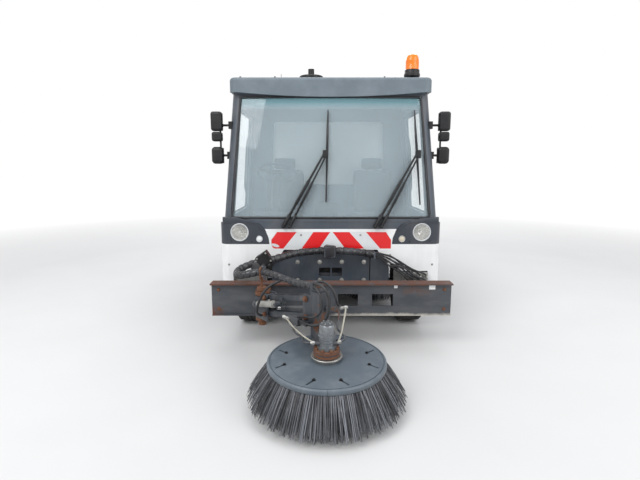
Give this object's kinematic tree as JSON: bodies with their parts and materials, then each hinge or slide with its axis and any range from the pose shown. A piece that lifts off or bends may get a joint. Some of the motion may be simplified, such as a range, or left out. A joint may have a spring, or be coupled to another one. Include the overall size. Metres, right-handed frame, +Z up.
{
  "type": "compact road sweeper",
  "caption": "Compact road sweeper with a wide cab, tipping hopper, steered front wheels, a third brush on a front arm and side brushes.",
  "frame": {"origin": "on the ground, in the middle of the machine's box", "axes": "+Z up, -Y forwards, +X to the machine's left"},
  "size_m": [2.262, 6.4694, 2.8199],
  "materials": {
    "white_paint": "gloss vehicle paint",
    "grey_paint": "satin dark blue-grey paint",
    "frame_paint": "satin dark paint, worn and rusted at edges",
    "roof_plastic": "weathered moulded plastic",
    "black_plastic": "grained moulded plastic",
    "tyre_rubber": "used tyre rubber",
    "rim_steel": "silver wheel paint",
    "axle_steel": "cast, dirty",
    "screen_glass": "clear tinted glass",
    "lamp_glass": "clear lamp lens",
    "amber_lens": "translucent amber",
    "red_lens": "translucent red",
    "seat_cloth": "woven cloth",
    "zinc": "zinc plated",
    "rusty_steel": "rusted",
    "disc_paint": "scuffed blue-grey paint",
    "bristle": "stiff flat bristles",
    "hose_rubber": "hydraulic hose"
  },
  "bodies": {
    "chassis": {"chassis_frame": "frame_paint", "front_axle": "axle_steel", "rear_axle": "axle_steel", "cab_frame": "grey_paint", "windscreen": "screen_glass", "rear_window": "screen_glass", "roof_cap": "roof_plastic", "cab_floor": "black_plastic", "nose_panel": "white_paint", "lamp_panels": "grey_paint", "front_lamps": "lamp_glass", "cowl": "grey_paint", "side_panels": "white_paint", "dashboard": "black_plastic", "steering_wheel": "black_plastic", "seats": "seat_cloth", "mirrors": "black_plastic", "wipers": "black_plastic", "beacon": "amber_lens", "engine": "axle_steel", "engine_cover": "white_paint", "hose_mast": "black_plastic", "rear_bumper": "grey_paint", "rear_lamps": "red_lens", "rear_mudguards": "black_plastic", "side_tanks": "grey_paint", "tool_plate": "grey_paint", "cross_beam": "frame_paint", "coupler_block": "zinc", "arm_post": "rusty_steel", "side_brush_carrier": "frame_paint", "suction_mouth": "frame_paint", "hose_trunk": "hose_rubber", "hose_slack": "hose_rubber"},
    "knuckle_left": {"knuckle_left": "axle_steel"},
    "knuckle_right": {"knuckle_right": "axle_steel"},
    "door_left": {"door_left": "grey_paint", "door_glass_left": "screen_glass"},
    "door_right": {"door_right": "grey_paint", "door_glass_right": "screen_glass"},
    "hopper": {"hopper": "white_paint"},
    "tailgate": {"tailgate": "white_paint"},
    "swing_bracket": {"swing_bracket": "frame_paint"},
    "lower_link": {"lower_link": "frame_paint"},
    "upper_link": {"upper_link": "frame_paint"},
    "brush_head": {"brush_head": "frame_paint", "hose_arm": "hose_rubber"},
    "front_brush": {"front_brush": "bristle"},
    "side_arm_left": {"side_arm_left": "frame_paint"},
    "side_arm_right": {"side_arm_right": "frame_paint"},
    "side_brush_left": {"side_brush_left": "bristle"},
    "side_brush_right": {"side_brush_right": "bristle"},
    "wheel_front_left": {"tyre_front_left": "tyre_rubber", "rim_front_left": "rim_steel"},
    "wheel_front_right": {"tyre_front_right": "tyre_rubber", "rim_front_right": "rim_steel"},
    "wheel_rear_left": {"tyre_rear_left": "tyre_rubber", "rim_rear_left": "rim_steel"},
    "wheel_rear_right": {"tyre_rear_right": "tyre_rubber", "rim_rear_right": "rim_steel"}
  },
  "joints": [
    {"name": "steer_left", "type": "hinge", "parent": "chassis", "child": "knuckle_left", "pos_m": [0.725, -0.9075, 0.39], "axis": [0, 0, 1], "range_deg": [-30, 30]},
    {"name": "steer_right", "type": "hinge", "parent": "chassis", "child": "knuckle_right", "pos_m": [-0.725, -0.9075, 0.39], "axis": [0, 0, 1], "range_deg": [-30, 30]},
    {"name": "spin_front_left", "type": "hinge", "parent": "knuckle_left", "child": "wheel_front_left", "pos_m": [0.82, -0.9075, 0.39], "axis": [1, 0, 0], "continuous": true},
    {"name": "spin_front_right", "type": "hinge", "parent": "knuckle_right", "child": "wheel_front_right", "pos_m": [-0.82, -0.9075, 0.39], "axis": [1, 0, 0], "continuous": true},
    {"name": "spin_rear_left", "type": "hinge", "parent": "chassis", "child": "wheel_rear_left", "pos_m": [0.82, 1.4425, 0.39], "axis": [1, 0, 0], "continuous": true},
    {"name": "spin_rear_right", "type": "hinge", "parent": "chassis", "child": "wheel_rear_right", "pos_m": [-0.82, 1.4425, 0.39], "axis": [1, 0, 0], "continuous": true},
    {"name": "door_left_hinge", "type": "hinge", "parent": "chassis", "child": "door_left", "pos_m": [1.03699, -1.0775, 0.905], "axis": [0.0729, 0, -0.9973], "range_deg": [0, 70]},
    {"name": "door_right_hinge", "type": "hinge", "parent": "chassis", "child": "door_right", "pos_m": [-1.03699, -1.0775, 0.905], "axis": [0.0729, 0, 0.9973], "range_deg": [0, 70]},
    {"name": "hopper_tip", "type": "hinge", "parent": "chassis", "child": "hopper", "pos_m": [0, 2.9625, 0.86], "axis": [-1, 0, 0], "range_deg": [0, 50]},
    {"name": "tailgate_hinge", "type": "hinge", "parent": "hopper", "child": "tailgate", "pos_m": [0, 3.0585, 2.352], "axis": [1, 0, 0], "range_deg": [0, 75]},
    {"name": "arm_swing", "type": "hinge", "parent": "chassis", "child": "swing_bracket", "pos_m": [-0.585, -1.9275, 0.46], "axis": [0, 0, 1], "range_deg": [-70, 22]},
    {"name": "arm_lift", "type": "hinge", "parent": "swing_bracket", "child": "lower_link", "pos_m": [-0.50683, -2.01855, 0.43], "axis": [-0.7587, -0.6514, 0], "range_deg": [-2.5, 32]},
    {"name": "upper_link_lift", "type": "hinge", "parent": "swing_bracket", "child": "upper_link", "pos_m": [-0.50683, -2.01855, 0.565], "axis": [-0.7587, -0.6514, 0], "range_deg": [-3.5, 33]},
    {"name": "head_level", "type": "hinge", "parent": "lower_link", "child": "brush_head", "pos_m": [-0.1618, -2.42042, 0.54258], "axis": [-0.7587, -0.6514, 0], "range_deg": [-33, 3.5]},
    {"name": "front_brush_spin", "type": "hinge", "parent": "brush_head", "child": "front_brush", "pos_m": [-0.055, -2.6975, 0.335], "axis": [0, -0.0541, 0.9985], "continuous": true},
    {"name": "side_arm_swing_left", "type": "hinge", "parent": "chassis", "child": "side_arm_left", "pos_m": [0.33, 0.2925, 0.42], "axis": [0, 0, 1], "range_deg": [-2, 28]},
    {"name": "side_brush_spin_left", "type": "hinge", "parent": "side_arm_left", "child": "side_brush_left", "pos_m": [0.56, 0.0425, 0.265], "axis": [0, 0, 1], "continuous": true},
    {"name": "side_arm_swing_right", "type": "hinge", "parent": "chassis", "child": "side_arm_right", "pos_m": [-0.33, 0.2925, 0.42], "axis": [0, 0, -1], "range_deg": [-2, 28]},
    {"name": "side_brush_spin_right", "type": "hinge", "parent": "side_arm_right", "child": "side_brush_right", "pos_m": [-0.56, 0.0425, 0.265], "axis": [0, 0, 1], "continuous": true}
  ],
  "couplings": [
    {"joint": "steer_right", "follows": "steer_left", "ratio": 1},
    {"joint": "upper_link_lift", "follows": "arm_lift", "ratio": 1},
    {"joint": "head_level", "follows": "arm_lift", "ratio": -1}
  ]
}
